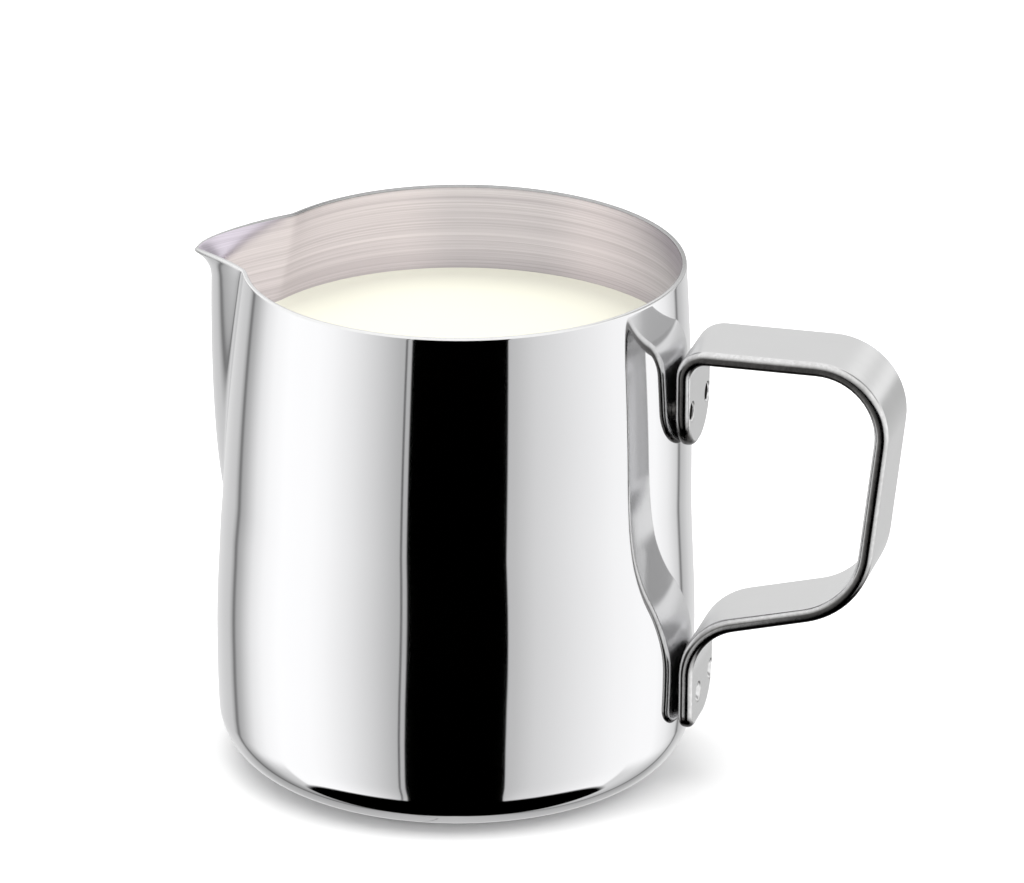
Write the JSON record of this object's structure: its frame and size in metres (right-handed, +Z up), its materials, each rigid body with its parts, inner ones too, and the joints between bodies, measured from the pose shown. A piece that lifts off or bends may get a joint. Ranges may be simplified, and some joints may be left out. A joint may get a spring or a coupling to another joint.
{
  "type": "cream jug",
  "caption": "Small straight-sided steel cream jug with a pressed pouring spout at the rim and a bent strap handle welded to the opposite side.",
  "frame": {"origin": "centre of the flat foot, on the table", "axes": "+Z up along the cup's axis, +X towards the handle, -X towards the spout; the jug is the same on both sides of the plane Y = 0 apart from the weld places"},
  "size_m": [0.1124, 0.075, 0.082],
  "materials": {
    "polished_cup": "stainless steel, mirror-polished outside and brushed around the inside",
    "strap_steel": "stainless strap, satin-polished faces with raw punched edges",
    "weld_steel": "bare spot-weld nuggets in shallow electrode pits"
  },
  "bodies": {
    "root": {"jug_body": "polished_cup", "handle": "strap_steel", "upper_weld_nuggets": "weld_steel", "lower_weld_nuggets": "weld_steel"}
  },
  "joints": []
}
